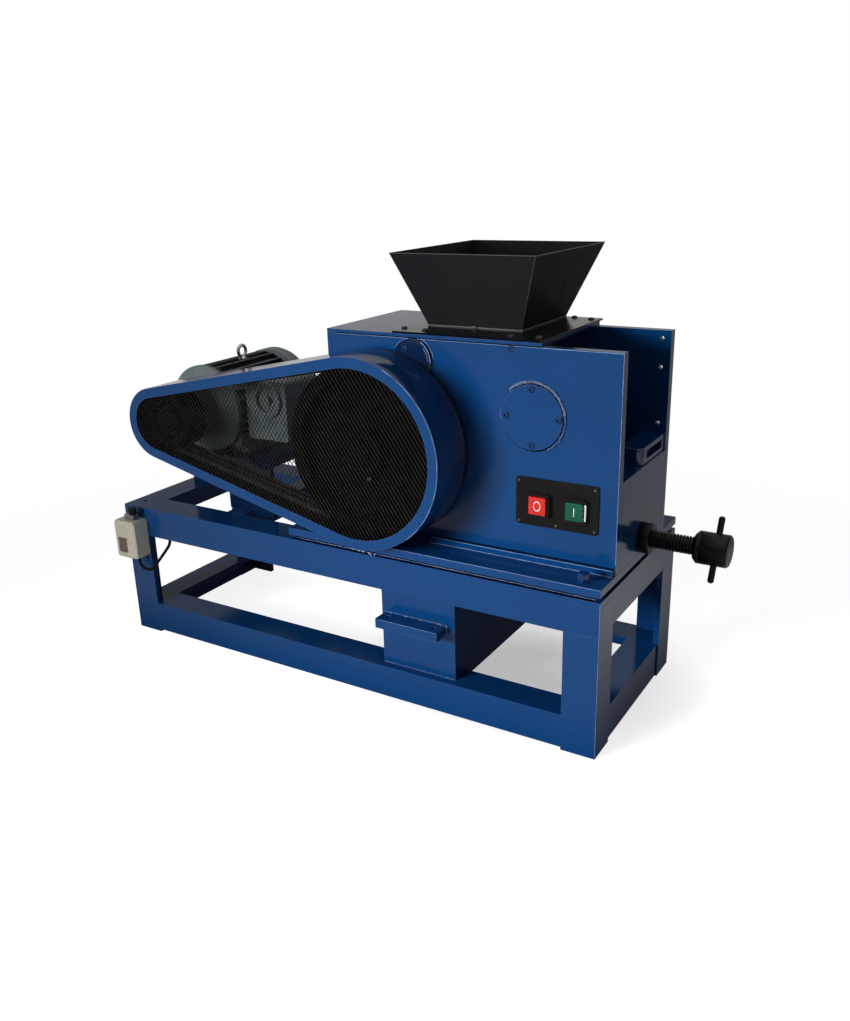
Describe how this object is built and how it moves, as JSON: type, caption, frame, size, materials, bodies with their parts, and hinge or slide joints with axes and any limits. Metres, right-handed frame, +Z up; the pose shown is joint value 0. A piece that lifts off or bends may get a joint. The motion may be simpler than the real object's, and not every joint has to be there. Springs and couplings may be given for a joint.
{
  "type": "jaw crusher",
  "caption": "Laboratory jaw crusher on an angle-iron frame, with motor, mesh belt guard, feed hopper, discharge chute and hand-set adjusting screw.",
  "frame": {"origin": "on the floor, under the middle of the bounding box", "axes": "+X along the machine from the motor to the adjusting screw, +Y from the belt guard's side to the far side, +Z up"},
  "size_m": [1.368, 0.474, 0.9075],
  "materials": {
    "blue_enamel": "semi-gloss blue enamel with light orange peel",
    "black_enamel": "satin black paint",
    "jaw_steel": "worn manganese steel",
    "bright_steel": "machined steel",
    "black_iron": "black painted iron",
    "belt_rubber": "dusty black rubber",
    "mesh_steel": "gunmetal expanded mesh",
    "motor_iron": "grey-green painted cast iron",
    "motor_cover": "light grey-green paint",
    "black_steel": "black oxide",
    "panel_plastic": "matt black",
    "red_plastic": "red",
    "green_plastic": "green",
    "beige_plastic": "beige, lightly soiled",
    "cable_rubber": "black cable sheath"
  },
  "bodies": {
    "machine": {"frame_legs": "blue_enamel", "frame_long_rails": "blue_enamel", "frame_end_rails": "blue_enamel", "cross_beams": "blue_enamel", "packing_strips": "blue_enamel", "base_plate": "blue_enamel", "side_plate_front": "blue_enamel", "side_plate_rear": "blue_enamel", "end_plate_left": "blue_enamel", "end_wall_right": "blue_enamel", "ledge_block": "blue_enamel", "cover_plate": "blue_enamel", "hopper_flange": "black_enamel", "hopper": "black_enamel", "pivot_caps": "blue_enamel", "hinge_covers": "blue_enamel", "bearing_housings": "blue_enamel", "swing_jaw": "jaw_steel", "adjustable_jaw": "jaw_steel", "v_belts": "belt_rubber", "guard_band": "blue_enamel", "guard_rim": "blue_enamel", "guard_mesh": "mesh_steel", "guard_post": "blue_enamel", "motor_body": "motor_iron", "motor_feet": "motor_iron", "motor_fan_cover": "motor_cover", "terminal_box": "motor_iron", "lifting_eye": "bright_steel", "motor_stand": "blue_enamel", "chute": "blue_enamel", "chute_bracket": "blue_enamel", "screw_collar": "black_steel", "control_panel": "panel_plastic", "switch_box": "beige_plastic", "switch_gland": "bright_steel", "switch_cable": "cable_rubber"},
    "drive_wheel": {"flywheel": "black_iron", "eccentric_shaft": "black_iron"},
    "motor_drive": {"motor_pulley": "black_iron", "motor_shaft": "black_iron"},
    "thrust": {"thrust_pad": "black_steel"},
    "screw": {"adjusting_screw": "black_steel", "screw_knob": "black_steel", "t_bar": "black_steel"},
    "stop": {"stop_button": "red_plastic"},
    "start": {"start_button": "green_plastic"}
  },
  "joints": [
    {"name": "flywheel_spin", "type": "hinge", "parent": "machine", "child": "drive_wheel", "pos_m": [0.021, -0.174, 0.54], "axis": [0, 1, 0], "continuous": true},
    {"name": "motor_pulley_spin", "type": "hinge", "parent": "machine", "child": "motor_drive", "pos_m": [-0.5, -0.174, 0.547], "axis": [0, 1, 0], "continuous": true},
    {"name": "screw_travel", "type": "slide", "parent": "machine", "child": "thrust", "axis": [1, 0, 0], "range_m": [0, 0.0301]},
    {"name": "screw_turn", "type": "hinge", "parent": "thrust", "child": "screw", "pos_m": [0.516, 0.0145, 0.377], "axis": [1, 0, 0], "range_deg": [0, 1800]},
    {"name": "stop_press", "type": "slide", "parent": "machine", "child": "stop", "axis": [0, 1, 0], "range_m": [0, 0.0025], "stiffness_N_per_m": 400, "springref_m": -0.002},
    {"name": "start_press", "type": "slide", "parent": "machine", "child": "start", "axis": [0, 1, 0], "range_m": [0, 0.0025], "stiffness_N_per_m": 400, "springref_m": -0.002}
  ],
  "couplings": [
    {"joint": "motor_pulley_spin", "follows": "flywheel_spin", "ratio": 2.8136},
    {"joint": "screw_travel", "follows": "screw_turn", "m_per_rad": 0.00095493}
  ]
}
